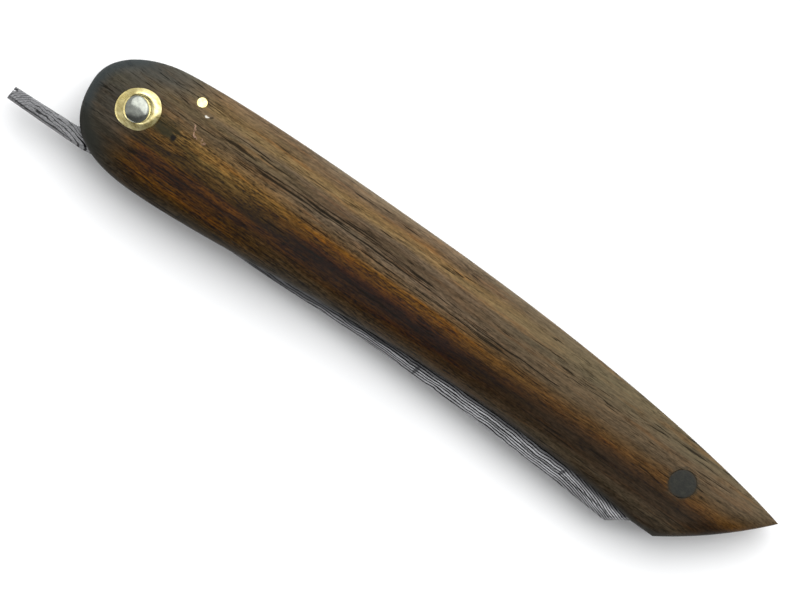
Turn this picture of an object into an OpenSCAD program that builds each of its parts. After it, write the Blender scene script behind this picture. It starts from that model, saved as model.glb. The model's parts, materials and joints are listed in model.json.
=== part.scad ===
// Folding straight razor, closed: two crowned wooden scales held apart by a tail spacer,
// and one steel bar between them that is tail, tang, spine and hollow-ground blade.
// Everything is laid out from the middle of the rounded end, close to the pivot: +X runs to
// the pointed tip, +Y to the back edge and +Z through the front scale, with z = 0 in the
// middle of the slot. lay_down() then puts the razor on its back scale, with the origin
// under the middle of its outline.

/* [Handle outline] */
// Centre of the rounded end to the end itself
end_reach = 10; // [9.5:0.1:11]
// Centre of the rounded end to the pointed tip
tip_reach = 141; // [138:0.5:146]
// Tip above the centre line
tip_rise = 4.8; // [4:0.1:6]
// Centre of the rounded end to the heel corner, where the slanted end starts
corner_reach = 123.2; // [121:0.2:126]
// Heel corner below the centre line
corner_drop = 10.4; // [10:0.1:11]
// Highest point of the back edge above the centre line
back_rise = 12.15; // [11.5:0.05:13]
// Deepest point of the belly below the centre line
belly_drop = 13.5; // [13:0.1:14.5]
// Depth of the shallow waist below the centre line
waist_drop = 8.5; // [8:0.1:9]
// How far the slanted end bows out past a straight cut
end_bow = 0.8; // [0:0.1:1.2]

/* [Scales] */
// Width of the slot between the scales
slot_w = 4.4; // [4.3:0.1:5]
// Thickness of a scale at the flat it rests on
scale_t = 4.4; // [4.2:0.1:5]
// Height of the plain band along the slot, below the rounding
edge_band = 0.8; // [0.5:0.1:1.2]
// Depth of the worn rounding at the pivot end
end_round = 5; // [3:0.5:6]
// Depth of the rounding along the slanted end
tail_round = 4; // [2:0.5:6]

/* [Blade] */
// Thickness of the tang and the spine
blade_t = 3.8; // [3.4:0.1:3.9]
// Thickness at the end of the tail
tail_t = 2.8; // [2.2:0.1:3.4]
// Centre of the rounded end to the end of the tail
tail_reach = 21.3; // [18:0.1:26]
// Cutting edge above the centre line
edge_rise = 7.2; // [6.6:0.1:8]
// Thickness left at the cutting edge
edge_t = 0.2; // [0.2:0.05:0.4]
// Radius of the tang around the pivot
tang_r = 6.2; // [5.8:0.1:6.3]
// Thickness left along the outer edge of the spine
spine_t = 1.2; // [0.6:0.1:1.6]
// Width of the slope between that edge and the full thickness
spine_slope = 1.5; // [0.8:0.1:2]
// Width of the flat flank between the spine and the hollow
flank_w = 4.2; // [3:0.2:6]

/* [Pins and washers] */
// Diameter of the pivot rod
pivot_d = 3; // [2.8:0.1:3.2]
// Diameter of the rod's domed heads
head_d = 5; // [4.6:0.1:5.2]
// Height of a domed head
head_h = 0.75; // [0.6:0.05:0.8]
// Outer diameter of the dished collars
collar_d = 8.2; // [8:0.1:8.6]
// Height of a collar at its crest
collar_h = 0.85; // [0.7:0.05:0.95]
// Height of the collar seat above the slot face of a scale
seat_h = 3.1; // [2.8:0.05:3.1]
// Outer diameter of the washers beside the tang
washer_d = 9; // [8:0.5:11]
// Thickness of the washers beside the tang
washer_t = 0.25; // [0.2:0.05:0.25]
// Diameter of the stop pin
stop_d = 2; // [1.8:0.05:2]
// Diameter of the tail dowel
dowel_d = 5.3; // [4.8:0.1:5.8]

/* [Hidden] */
$fn = 96;

// Clearances on the radius: a running fit in the blade, a close fit in everything else
running_gap = 0.05;
close_gap = 0.02;
// The collar seats are cut slightly wider than the collars
seat_gap = 0.2;

pivot_at = [0, -0.4];
stop_at = [9.1, 7.5];
dowel_at = [122.1, 0.7];
handle_half_t = slot_w / 2 + scale_t;

// Outline of the handle as cubic curves, from the rounded end along the back and the belly
upper_curves = [
    [[-end_reach, 0], [-end_reach, 5.8], [-3, 9.4], [3, 10.35]],
    [[3, 10.35], [16, 12.35], [40, back_rise], [56, back_rise]],
    [[56, back_rise], [104, back_rise], [132, 7], [tip_reach, tip_rise]]
];
lower_curves = [
    [[-end_reach, 0], [-end_reach, -11.3], [-1.6, -belly_drop], [7.4, -belly_drop]],
    [[7.4, -belly_drop], [24, -belly_drop], [51, -waist_drop], [84, -waist_drop]],
    [[84, -waist_drop], [96, -waist_drop], [110, -9.1], [118.4, -corner_drop]],
    [[118.4, -corner_drop], [120, -corner_drop], [121, -corner_drop], [corner_reach, -corner_drop]]
];
// Outline of the steel below the waist, from the tail to the clipped nose
spine_curves = [
    [[-tail_reach, -12.5], [-16, -12.5], [-10, -12.5], [-5, -12.4]],
    [[-5, -12.4], [-3.5, -12.35], [-3, -12], [0, -12]],
    [[0, -12], [10, -12], [22, -12], [31.5, -12]],
    [[31.5, -12], [44, -12], [48, -11.3], [61, -11.3]],
    [[61, -11.3], [76, -11.3], [96, -11.8], [114.3, -13.15]]
];

function mix(a, b, f) = a * (1 - f) + b * f;
function clamp01(v) = min(1, max(0, v));
function smooth(v) = clamp01(v) * clamp01(v) * (3 - 2 * clamp01(v));
// Quarter of an ellipse that rises from 0 to 1 over the depth r
function rounding(d, r) = d >= r ? 1 : sqrt(1 - pow(1 - max(0, d) / r, 2));
function bezier(c, t) =
    c[0] * pow(1 - t, 3) + 3 * c[1] * t * pow(1 - t, 2) + 3 * c[2] * t * t * (1 - t) + c[3] * pow(t, 3);
curve_steps = 24;
function curve_points(curves) = [for (c = curves, i = [0 : curve_steps]) bezier(c, i / curve_steps)];

upper_points = curve_points(upper_curves);
lower_points = curve_points(lower_curves);
spine_points = curve_points(spine_curves);

// A closed body over a grid of [x, y] points, between a top and a bottom height at each point
module slab(grid, top, bottom) {
    n = len(grid);
    m = len(grid[0]);
    end = n - 1;
    last = m - 1;
    rows = [0 : n - 2];
    columns = [0 : m - 2];
    function up(i, j) = i * m + j;
    function down(i, j) = n * m + i * m + j;
    function quad(a, b, c, d) = [[a, b, c], [a, c, d]];
    points = concat(
        [for (i = [0 : n - 1], j = [0 : m - 1]) [grid[i][j][0], grid[i][j][1], top[i][j]]],
        [for (i = [0 : n - 1], j = [0 : m - 1]) [grid[i][j][0], grid[i][j][1], bottom[i][j]]]);
    faces = concat(
        [for (i = rows, j = columns, f = quad(up(i, j), up(i, j + 1), up(i + 1, j + 1), up(i + 1, j))) f],
        [for (i = rows, j = columns,
            f = quad(down(i, j), down(i + 1, j), down(i + 1, j + 1), down(i, j + 1))) f],
        [for (i = rows, f = quad(up(i, 0), up(i + 1, 0), down(i + 1, 0), down(i, 0))) f],
        [for (i = rows, f = quad(up(i + 1, last), up(i, last), down(i, last), down(i + 1, last))) f],
        [for (j = columns, f = quad(up(0, j + 1), up(0, j), down(0, j), down(0, j + 1))) f],
        [for (j = columns, f = quad(up(end, j), up(end, j + 1), down(end, j + 1), down(end, j))) f]);
    polyhedron(points, faces);
}

// Handle surface. A station is a line from the lower rail to the upper rail at the upper rail's x.
// The stations lean over towards the tail, until the last one is the slanted end.
lean_from = 60;
function lean(x) = pow(max(0, (x - lean_from) / (tip_reach - lean_from)), 2);
function lower_x(x) = x - end_run * lean(x);
end_rise = tip_rise + corner_drop;
end_run = tip_reach - corner_reach;
// Unit vector that points straight out of the slanted end
end_out = [end_rise, -end_run] / norm([end_rise, end_run]);
function handle_point(x, q) =
    mix([lower_x(x), lookup(lower_x(x), lower_points)], [x, lookup(x, upper_points)], q)
    + end_out * end_bow * pow(lean(x), 4) * 4 * q * (1 - q);

// Stations lie closer together where the outline turns and at the tail
end_zone = 15;
tail_zone = 16;
station_x = concat(
    [for (a = [4 : 8.6 : 90]) -end_reach + end_zone * (1 - cos(a))],
    [for (i = [1 : 19]) mix(end_zone - end_reach, tip_reach - tail_zone, i / 20)],
    [for (a = [0 : 10 : 90]) tip_reach - tail_zone + tail_zone * sin(a)]);
across = 12;
function share(j) = (1 - cos(180 * j / across)) / 2;
handle_grid = [for (x = station_x) [for (j = [0 : across]) handle_point(x, share(j))]];

// Height of a scale above its slot face: crowned across, thickest near the middle of its
// length, and rounded off at both ends. The crest stands proud and the flat takes it off.
// The crest runs nearer the belly, so that the flat reaches under the weight of the spine.
crest_x = 50;
crest_fall = 0.5;
crest_wave = 75;
crest_share = 0.42;
crown_power = 3;
function crest(x) = scale_t - crest_fall + cos(180 * (x - crest_x) / crest_wave);
function from_crest(q) = q < crest_share ? 1 - q / crest_share : (q - crest_share) / (1 - crest_share);
function crown(q) = sqrt(1 - pow(from_crest(q), crown_power));
function scale_height(x, q) =
    edge_band + (crest(x) - edge_band) * crown(q)
    * rounding(x + end_reach, end_round) * rounding((tip_reach - x) * end_out[0], tail_round);
function level(h) = [for (x = station_x) [for (j = [0 : across]) h]];
scale_top = [for (x = station_x) [for (j = [0 : across]) scale_height(x, share(j))]];

module lay_down() {
    middle_x = (tip_reach - tail_reach) / 2;
    middle_y = (back_rise - belly_drop) / 2;
    translate([-middle_x, -middle_y, handle_half_t]) children();
}

module rod(d, at) {
    translate([at[0], at[1], 0]) cylinder(d = d, h = 4 * handle_half_t, center = true);
}

module at_pivot(z = 0) {
    translate([pivot_at[0], pivot_at[1], z]) children();
}

// One scale on its slot face at z = 0, with its flat, collar seat and three holes
module scale_half() {
    big = 400;
    spare = 1;
    difference() {
        slab(handle_grid, scale_top, level(-spare));
        translate([-big / 2, -big / 2, -big]) cube(big);
        translate([-big / 2, -big / 2, scale_t]) cube(big);
        at_pivot(seat_h) cylinder(d = collar_d + 2 * seat_gap, h = scale_t);
        rod(pivot_d + 2 * close_gap, pivot_at);
        rod(stop_d + 2 * close_gap, stop_at);
        rod(dowel_d + 2 * close_gap, dowel_at);
    }
}

// The whole handle as one body: pins are trimmed flush with its skin
module handle_skin() {
    outer = scale_top + level(slot_w / 2);
    slab(handle_grid, outer, -outer);
}

module front_scale() {
    color("saddlebrown") lay_down() translate([0, 0, slot_w / 2]) scale_half();
}

module back_scale() {
    color("saddlebrown") lay_down() mirror([0, 0, 1]) translate([0, 0, slot_w / 2]) scale_half();
}

// Wedge between the scales. Its front face leans back to clear the nose of the blade.
spacer_low = [119.4, -14];
spacer_high = [114.3, 14];
module tail_spacer() {
    last = len(station_x) - 1;
    outline = concat(
        [for (i = [0 : last]) handle_grid[i][0]],
        [for (j = [1 : across - 1]) handle_grid[last][j]],
        [for (i = [last : -1 : 0]) handle_grid[i][across]]);
    beyond = tip_reach + 10;
    behind = [spacer_low, [beyond, spacer_low[1]], [beyond, spacer_high[1]], spacer_high];
    color("saddlebrown") lay_down() difference() {
        translate([0, 0, -slot_w / 2]) linear_extrude(slot_w) intersection() {
            polygon(outline);
            polygon(behind);
        }
        rod(dowel_d + 2 * close_gap, dowel_at);
    }
}

module tail_dowel() {
    color("#1c1512") lay_down() intersection() {
        rod(dowel_d, dowel_at);
        handle_skin();
    }
}

module stop_pin() {
    color("gold") lay_down() intersection() {
        rod(stop_d, stop_at);
        handle_skin();
    }
}

// Rod peened into a shallow dome at both ends, on the floor of the collars
collar_floor = 0.5;
head_base = slot_w / 2 + seat_h + collar_floor;
module pivot_pin() {
    dome_r = (pow(head_d / 2, 2) + pow(head_h, 2)) / (2 * head_h);
    color("silver") lay_down() at_pivot() {
        cylinder(d = pivot_d, h = 2 * head_base, center = true);
        for (side = [0, 1]) mirror([0, 0, side]) translate([0, 0, head_base])
            rotate_extrude() intersection() {
                translate([0, head_h - dome_r]) circle(dome_r);
                square([head_d / 2, head_h]);
            }
    }
}

// Dished washer: a flat floor under the rivet head, a round crest and a thin rim
collar_rim = 0.25;
crest_inset = 1.15;
crest_bead = 0.25;
floor_gap = 0.1;
module collar() {
    inner = pivot_d / 2 + running_gap;
    outer = collar_d / 2;
    crest_r = outer - crest_inset;
    slope_top = collar_h - crest_bead / 4;
    rotate_extrude() {
        polygon([[inner, 0], [outer, 0], [outer, collar_rim], [crest_r, slope_top],
                 [head_d / 2 + floor_gap, collar_floor], [inner, collar_floor]]);
        translate([crest_r, collar_h - crest_bead]) circle(crest_bead);
    }
}

module front_collar() {
    color("gold") lay_down() at_pivot(slot_w / 2 + seat_h) collar();
}

module back_collar() {
    color("gold") lay_down() mirror([0, 0, 1]) at_pivot(slot_w / 2 + seat_h) collar();
}

module inner_washer() {
    at_pivot(slot_w / 2 - washer_t) difference() {
        cylinder(d = washer_d, h = washer_t);
        translate([0, 0, -washer_t]) cylinder(d = pivot_d + 2 * running_gap, h = 3 * washer_t);
    }
}

module front_inner_washer() {
    color("darkgoldenrod") lay_down() inner_washer();
}

module back_inner_washer() {
    color("darkgoldenrod") lay_down() mirror([0, 0, 1]) inner_washer();
}

// Blade: stations run from a point on the spine to a point on the inner edge.
// Along the tail and the tang the inner edge turns up through a fillet and round the pivot.
fillet_r = 2;
tail_edge = [[-tail_reach + 0.2, -9.85], [-tang_r - fillet_r, -9.33]];
heel_x = 20;
heel_len = 3;
edge_end = 111;
nose_corner = [112.4, edge_rise];
nose_tip = [113.9, edge_rise - 0.3];
clip_start = 114.3;
clip_end = [118.5, -10.3];
// Where the stations of the fillet, of the tang's side and of its arc start along the spine
fillet_from = -9;
side_from = -6.5;
arc_from = -3.8;
function spine_at(x) = [x, lookup(x, spine_points)];
// The top of the tang runs just under the stop pin, which it meets if the blade is pushed home
stop_gap = 0.2;
tang_top = stop_at[1] - stop_d / 2 - stop_gap;
tang_turn = 8;
function inner_edge(x) =
    [x, x < heel_x ? mix(pivot_at[1] + tang_r, tang_top, smooth(x / tang_turn))
        : mix(tang_top, edge_rise, smooth((x - heel_x) / heel_len))];
fillet_foot = tail_edge[1];
fillet_top = [-tang_r, fillet_foot[1] + fillet_r];
arc_foot = [-tang_r, pivot_at[1]];
function on_fillet(a) = fillet_foot + fillet_r * [sin(a), 1 - cos(a)];
function on_tang(a) = pivot_at + tang_r * [-cos(a), sin(a)];
blade_rails = concat(
    [for (f = [0 : 0.2 : 1]) [spine_at(mix(-tail_reach, fillet_from, f)), mix(tail_edge[0], fillet_foot, f)]],
    [for (a = [15 : 15 : 90]) [spine_at(mix(fillet_from, side_from, a / 90)), on_fillet(a)]],
    [for (f = [0.25 : 0.25 : 1]) [spine_at(mix(side_from, arc_from, f)), mix(fillet_top, arc_foot, f)]],
    [for (a = [15 : 15 : 90]) [spine_at(mix(arc_from, 0, a / 90)), on_tang(a)]],
    [for (x = [4 : 4 : heel_x]) [spine_at(x), inner_edge(x)]],
    [for (f = [0.25 : 0.25 : 2]) [spine_at(heel_x + heel_len * f), inner_edge(heel_x + heel_len * f)]],
    [for (x = [33 : 6 : edge_end]) [spine_at(x), inner_edge(x)]],
    [for (f = [0.5, 1]) [spine_at(mix(edge_end, clip_start, f)), mix(inner_edge(edge_end), nose_corner, f)]],
    [for (f = [0.25, 0.5, 1]) [mix(spine_at(clip_start), clip_end, f), mix(nose_corner, nose_tip, f)]]);

// The slope beside the spine narrows along the thin tail and at the clipped nose
tail_slope = 0.5;
nose_slope = 0.7;
function past_tail(x) = smooth((x + 8) / 12);
function past_nose(x) = smooth((x - clip_start + 1) / 1.5);
function slope_w(x) = mix(tail_slope, mix(spine_slope, nose_slope, past_nose(x)), past_tail(x));

// Points across a station: both sides of the slope, then even steps to the inner edge
hollow_steps = 10;
function blade_share(j, slope, w) = j == 0 ? 0 : mix(slope / w, 1, (j - 1) / hollow_steps);
blade_grid = [for (r = blade_rails) let (w = norm(r[1] - r[0]), slope = slope_w(r[0][0]))
    [for (j = [0 : hollow_steps + 1]) mix(r[0], r[1], blade_share(j, slope, w))]];

// Half thickness at d from the spine on a station of width w
function bar_half(x) = mix(tail_t, blade_t, clamp01((x + tail_reach) / (tail_reach - tang_r))) / 2;
function sloped_half(d, slope, half) = mix(spine_t / 2, half, clamp01(d / slope));
function hollow_half(d, w) =
    edge_t / 2 + (blade_t - edge_t) / 2 * pow(1 - clamp01((d - flank_w) / (w - flank_w)), 2);
function blade_half(r, j) =
    let (w = norm(r[1] - r[0]), slope = slope_w(r[0][0]), d = w * blade_share(j, slope, w), x = r[1][0],
         bar = sloped_half(d, slope, bar_half(x)), ground = min(bar, hollow_half(d, w)))
    mix(bar, ground, smooth((x - heel_x + 1) / (2 * heel_len)));
blade_top = [for (r = blade_rails) [for (j = [0 : hollow_steps + 1]) blade_half(r, j)]];

module blade() {
    color("slategray") lay_down() difference() {
        slab(blade_grid, blade_top, -blade_top);
        rod(pivot_d + 2 * running_gap, pivot_at);
    }
}

blade();
front_scale();
back_scale();
tail_spacer();
tail_dowel();
stop_pin();
pivot_pin();
front_collar();
back_collar();
front_inner_washer();
back_inner_washer();
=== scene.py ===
"""Looks of the folding straight razor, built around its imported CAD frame.

Everything is laid out in the plan: millimetres from the middle of the handle's rounded end,
x to the pointed tip, y to the back edge, z up from the middle of the slot. row() turns plan
points into the frame's metres.
"""
import json
import math

import bpy
import numpy as np
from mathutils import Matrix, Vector, noise
from mathutils.bvhtree import BVHTree


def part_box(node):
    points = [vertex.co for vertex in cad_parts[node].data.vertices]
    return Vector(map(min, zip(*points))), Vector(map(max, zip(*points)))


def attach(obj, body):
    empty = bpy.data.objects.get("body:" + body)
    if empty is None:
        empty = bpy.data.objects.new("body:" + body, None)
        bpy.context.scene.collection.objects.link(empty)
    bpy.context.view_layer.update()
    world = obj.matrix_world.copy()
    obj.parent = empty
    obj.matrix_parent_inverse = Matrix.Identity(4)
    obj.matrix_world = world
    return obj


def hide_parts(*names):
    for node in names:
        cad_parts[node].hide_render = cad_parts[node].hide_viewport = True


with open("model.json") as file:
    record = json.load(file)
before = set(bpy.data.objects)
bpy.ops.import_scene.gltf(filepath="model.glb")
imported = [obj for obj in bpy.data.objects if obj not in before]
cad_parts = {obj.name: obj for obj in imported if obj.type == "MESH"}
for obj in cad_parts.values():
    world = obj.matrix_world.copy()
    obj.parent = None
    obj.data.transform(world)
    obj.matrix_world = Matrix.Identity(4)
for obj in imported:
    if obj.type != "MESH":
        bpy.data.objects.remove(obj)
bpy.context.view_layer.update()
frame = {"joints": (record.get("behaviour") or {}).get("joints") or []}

# ---- plan and sizes

MM = 0.001
TURN = math.radians(35)  # the handle lies this far from the picture's horizontal
PIVOT = np.array((0.0, -0.4))  # the hinge's place in the plan, which ties the plan to the frame
hinge = Vector(frame["joints"][0]["pos_m"])
ORIGIN = hinge - Vector((PIVOT[0], PIVOT[1], 0)) * MM


def row(points):
    """Plan points in mm to row-frame points in m."""
    return np.asarray(points, float) * MM + np.array(ORIGIN)


def plan_box(node):
    low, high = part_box(node)
    return (low - ORIGIN) / MM, (high - ORIGIN) / MM


def plan_radius(node):
    low, high = plan_box(node)
    return (high.x - low.x) / 2


scale_low, scale_high = plan_box("front_scale")
blade_low, blade_high = plan_box("blade")
END_REACH = -scale_low.x
TIP_REACH = scale_high.x
BACK_RISE = scale_high.y
BELLY_DROP = -scale_low.y
SLOT_HALF = scale_low.z
SCALE_T = scale_high.z - scale_low.z
TAIL_REACH = -blade_low.x
EDGE_RISE = blade_high.y
BLADE_T = blade_high.z - blade_low.z
STOP_R = plan_radius("stop_pin")
DOWEL_R = plan_radius("tail_dowel")
COLLAR_R = plan_radius("front_collar")
COLLAR_SEAT = plan_box("front_collar")[0].z
HEAD_TOP = plan_box("pivot_pin")[1].z
# places that no box gives: the tip, the heel corner of the slanted end, the waist and two pins
TIP_RISE = 4.8
CORNER = np.array((123.2, -10.4))
WAIST_DROP = 8.5
STOP_AT = np.array((9.1, 7.5))
DOWEL_AT = np.array((122.1, 0.7))


# ---- curves

def mix(a, b, f):
    return a * (1 - f) + b * f


def smooth(v):
    v = np.clip(v, 0, 1)
    return v * v * (3 - 2 * v)


def rounding(d, r):
    """Quarter of an ellipse that rises from 0 to 1 over the depth r."""
    return np.sqrt(1 - (1 - np.clip(d / r, 0, 1)) ** 2)


def soft_min(a, b, k):
    """The smaller of a and b, with the corner between them rounded over k."""
    h = np.clip(0.5 + 0.5 * (b - a) / k, 0, 1)
    return mix(b, a, h) - k * h * (1 - h)


def bezier_table(curves, steps=160):
    """Points along cubic curves, as two arrays for np.interp."""
    t = np.linspace(0, 1, steps)[:, None]
    parts = []
    for a, b, c, d in np.array(curves, float):
        middle = 3 * b * t * (1 - t) ** 2
        parts.append(a * (1 - t) ** 3 + middle + 3 * c * t * t * (1 - t) + d * t ** 3)
    points = np.concatenate(parts)
    return points[:, 0], points[:, 1]


UPPER = bezier_table([
    [(-END_REACH, 0), (-END_REACH, 5.8), (-3, 9.4), (3, 10.35)],
    [(3, 10.35), (16, 12.2), (40, BACK_RISE), (56, BACK_RISE)],
    [(56, BACK_RISE), (104, BACK_RISE), (132, 7), (TIP_REACH, TIP_RISE)],
])
LOWER = bezier_table([
    [(-END_REACH, 0), (-END_REACH, -11.3), (-1.6, -BELLY_DROP), (7.4, -BELLY_DROP)],
    [(7.4, -BELLY_DROP), (24, -BELLY_DROP), (51, -WAIST_DROP), (84, -WAIST_DROP)],
    [(84, -WAIST_DROP), (96, -WAIST_DROP), (110, -9.1), (118.4, CORNER[1])],
    [(118.4, CORNER[1]), (120, CORNER[1]), (121, CORNER[1]), tuple(CORNER)],
])
SPINE = bezier_table([
    [(-TAIL_REACH, -12.5), (-16, -12.5), (-10, -12.5), (-5, -12.4)],
    [(-5, -12.4), (-3.5, -12.35), (-3, -12), (0, -12)],
    [(0, -12), (10, -12), (22, -12), (31.5, -12)],
    [(31.5, -12), (44, -12), (48, -11.3), (61, -11.3)],
    [(61, -11.3), (76, -11.3), (96, -11.8), (114.3, -13.15)],
])


# ---- mesh helpers

CREASE = math.radians(32)
ON_AXIS = 0.01  # a profile that starts or ends nearer the axis than this is closed there
MARK_WAVES = 0.7  # hammer marks per mm


def new_object(name, points, faces, flip=False):
    """A mesh object from plan points. Faces that meet at a crease stay sharp."""
    mesh = bpy.data.meshes.new(name)
    mesh.from_pydata(row(points).tolist(), [], faces)
    mesh.validate()
    if flip:
        mesh.flip_normals()
    mesh.shade_smooth()
    mesh.set_sharp_from_angle(angle=CREASE)
    made = bpy.data.objects.new(name, mesh)
    bpy.context.scene.collection.objects.link(made)
    return made


def ring_faces(rings, size, closed_rings=True):
    """Quads between rings of the same size, that follow each other in one list of points."""
    faces = []
    for i in range(rings - 1):
        for j in range(size if closed_rings else size - 1):
            k = (j + 1) % size
            faces.append((i * size + j, i * size + k, (i + 1) * size + k, (i + 1) * size + j))
    return faces


def lathe(name, centre, profile, spokes=128, stretch=None, bumps=0.0, mirror=False):
    """Turns a profile of (radius, height) round a vertical axis. stretch(angle, radius) gives the
    radius at that angle; bumps is the height of hammer marks on the surface, in mm."""
    angles = np.linspace(0, 2 * math.pi, spokes, endpoint=False)
    points = []
    for r, z in profile:
        for a in angles:
            radius = stretch(a, r) if stretch else r
            x, y = centre[0] + radius * math.cos(a), centre[1] + radius * math.sin(a)
            mark = Vector((x * MARK_WAVES, y * MARK_WAVES, z * MARK_WAVES + centre[0]))
            dent = bumps * noise.noise(mark) if r > ON_AXIS else 0
            points.append((x, y, z + dent))
    faces = ring_faces(len(profile), spokes)
    if profile[0][0] < ON_AXIS:
        faces.append(tuple(range(spokes - 1, -1, -1)))
    if profile[-1][0] < ON_AXIS:
        last = (len(profile) - 1) * spokes
        faces.append(tuple(range(last, last + spokes)))
    points = np.array(points)
    if mirror:
        points[:, 2] *= -1
    return new_object(name, points, faces, flip=mirror)


def cut(target, *cutters):
    """Cuts holes in target, then removes the cutters."""
    for cutter in cutters:
        step = target.modifiers.new("cut", "BOOLEAN")
        step.operation = "DIFFERENCE"
        step.solver = "EXACT"
        step.object = cutter
    evaluated = target.evaluated_get(bpy.context.evaluated_depsgraph_get())
    mesh = bpy.data.meshes.new_from_object(evaluated)
    target.modifiers.clear()
    target.data = mesh
    for cutter in cutters:
        bpy.data.objects.remove(cutter)


def cylinder_cutter(at, r, low, high):
    return lathe("cutter", at, [(0, low), (r, low), (r, high), (0, high)], 96)


CUT_REACH = 20  # well past the skin of either scale


def seat_cutter(side):
    """The shallow pocket that the collar sits in."""
    r = COLLAR_R - 0.04
    profile = [(0, COLLAR_SEAT), (r, COLLAR_SEAT), (r, CUT_REACH), (0, CUT_REACH)]
    made = lathe("cutter", PIVOT, profile, 160, collar_stretch, mirror=side < 0)
    shift_rim(made)
    return made


# ---- handle

LEAN_FROM = 60  # from here the stations lean over, up to the slanted end
END_BOW = 0.8  # how far the slanted end bows out
EDGE_BAND = 0.8  # the plain band along the slot
SLOT_BEVEL = 0.15
END_ROUND = 5  # depth of the worn rounding at the pivot end
TAIL_ROUND = 4  # and along the slanted end
END_SLANT = 0.65  # mm square to the slanted end, per mm along the handle
CREST_X = 50  # the fullest place of a scale, and half a wave of its swelling
CREST_WAVE = 75
CREST_DROP = 0.5  # the middle of that wave below the flat
CREST_SHARE = 0.42  # the crest's place between the belly and the back
CROWN_POWER = 3
FLAT_BLEND = 0.3
NEAR_PART = 15  # lengths of the two ends whose stations lie closer together
FAR_PART = 16
ACROSS = 72  # steps across a scale
BROAD_MARKS = 0.05
SHORT_MARKS = 0.012


def lean(x):
    """How far a station leans, from 0 to 1 at the slanted end."""
    return np.maximum(0, (x - LEAN_FROM) / (TIP_REACH - LEAN_FROM)) ** 2


def handle_point(x, q):
    """The handle's outline seen from above: q runs from the belly rail to the back rail."""
    low_x = x - (TIP_REACH - CORNER[0]) * lean(x)
    low = np.stack([low_x, np.interp(low_x, *LOWER)], -1)
    high = np.stack([x, np.interp(x, *UPPER)], -1)
    along = np.array((TIP_RISE - CORNER[1], CORNER[0] - TIP_REACH))
    along /= np.linalg.norm(along)
    bow = END_BOW * lean(x) ** 4 * 4 * q * (1 - q)
    return mix(low, high, q[..., None]) + along * bow[..., None]


def crown_height(x, q):
    """Height of a scale's skin above its slot face."""
    crest = SCALE_T - CREST_DROP + np.cos(np.pi * (x - CREST_X) / CREST_WAVE)
    side = np.where(q < CREST_SHARE, 1 - q / CREST_SHARE, (q - CREST_SHARE) / (1 - CREST_SHARE))
    crown = np.sqrt(np.clip(1 - side ** CROWN_POWER, 0, 1))
    ends = rounding(x + END_REACH, END_ROUND) * rounding((TIP_REACH - x) * END_SLANT, TAIL_ROUND)
    return soft_min(EDGE_BAND + (crest - EDGE_BAND) * crown * ends, SCALE_T, FLAT_BLEND)


def handle_stations():
    """Station positions, closer together where the outline turns."""
    near = -END_REACH + NEAR_PART * (1 - np.cos(np.radians(np.arange(2, 90, 1.5))))
    middle = np.arange(NEAR_PART - END_REACH, TIP_REACH - FAR_PART, 0.6)
    far = TIP_REACH - FAR_PART + FAR_PART * np.sin(np.radians(np.arange(0, 90.1, 2)))
    return np.concatenate([near, middle, far])


def hand_marks(x, y):
    """Small unevenness left by shaping the wood by hand, always inwards, in mm."""
    broad = noise.noise(Vector((x / 11, y / 7, 3.1)))
    short = noise.noise(Vector((x / 4, y / 3, 7.7)))
    return BROAD_MARKS * (broad - 1) + SHORT_MARKS * (short - 1)


def wooden_scale(name, side):
    """One scale. side is 1 for the front and -1 for the back."""
    x = handle_stations()
    q = (1 - np.cos(np.linspace(0, np.pi, ACROSS + 1))) / 2
    grid_x, grid_q = np.meshgrid(x, q, indexing="ij")
    plan = handle_point(grid_x, grid_q)
    height = crown_height(grid_x, grid_q)
    marks = np.vectorize(hand_marks)(plan[..., 0], plan[..., 1])
    height += marks * np.clip((height - EDGE_BAND) * 2, 0, 1)
    width = np.linalg.norm(plan[:, -1] - plan[:, 0], axis=-1)
    inset = np.minimum(SLOT_BEVEL / width, 0.2)
    rings = []
    for i in range(len(x)):
        top = [(*plan[i, j], SLOT_HALF + height[i, j]) for j in range(ACROSS + 1)]
        bevel_back = [(*plan[i, -1], SLOT_HALF + SLOT_BEVEL)]
        face_q = np.clip(q[::-1], inset[i], 1 - inset[i])
        face = [(*p, SLOT_HALF) for p in handle_point(np.full(ACROSS + 1, x[i]), face_q)]
        bevel_belly = [(*plan[i, 0], SLOT_HALF + SLOT_BEVEL)]
        rings += top + bevel_back + face + bevel_belly
    size = 2 * ACROSS + 4
    faces = ring_faces(len(x), size)
    for i, turn in ((0, 1), (len(x) - 1, -1)):
        def at(k):
            return i * size + k
        cap = [(at(j), at(j + 1), at(2 * ACROSS + 1 - j), at(2 * ACROSS + 2 - j)) for j in range(ACROSS)]
        cap.append((at(ACROSS), at(ACROSS + 1), at(ACROSS + 2)))
        cap.append((at(0), at(2 * ACROSS + 2), at(2 * ACROSS + 3)))
        faces += [f[::turn] for f in cap]
    points = np.array(rings)
    points[:, 2] *= side
    return new_object(name, points, faces, flip=side > 0)


def skin_height(tree, at, side):
    """Height in mm of the wood's skin at a plan point, from a ray shot at it from outside."""
    start = Vector(row((at[0], at[1], side * 30)))
    hit = tree.ray_cast(start, Vector((0, 0, -side)))
    return abs(hit[0].z - ORIGIN.z) / MM if hit[0] is not None else SLOT_HALF


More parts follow.
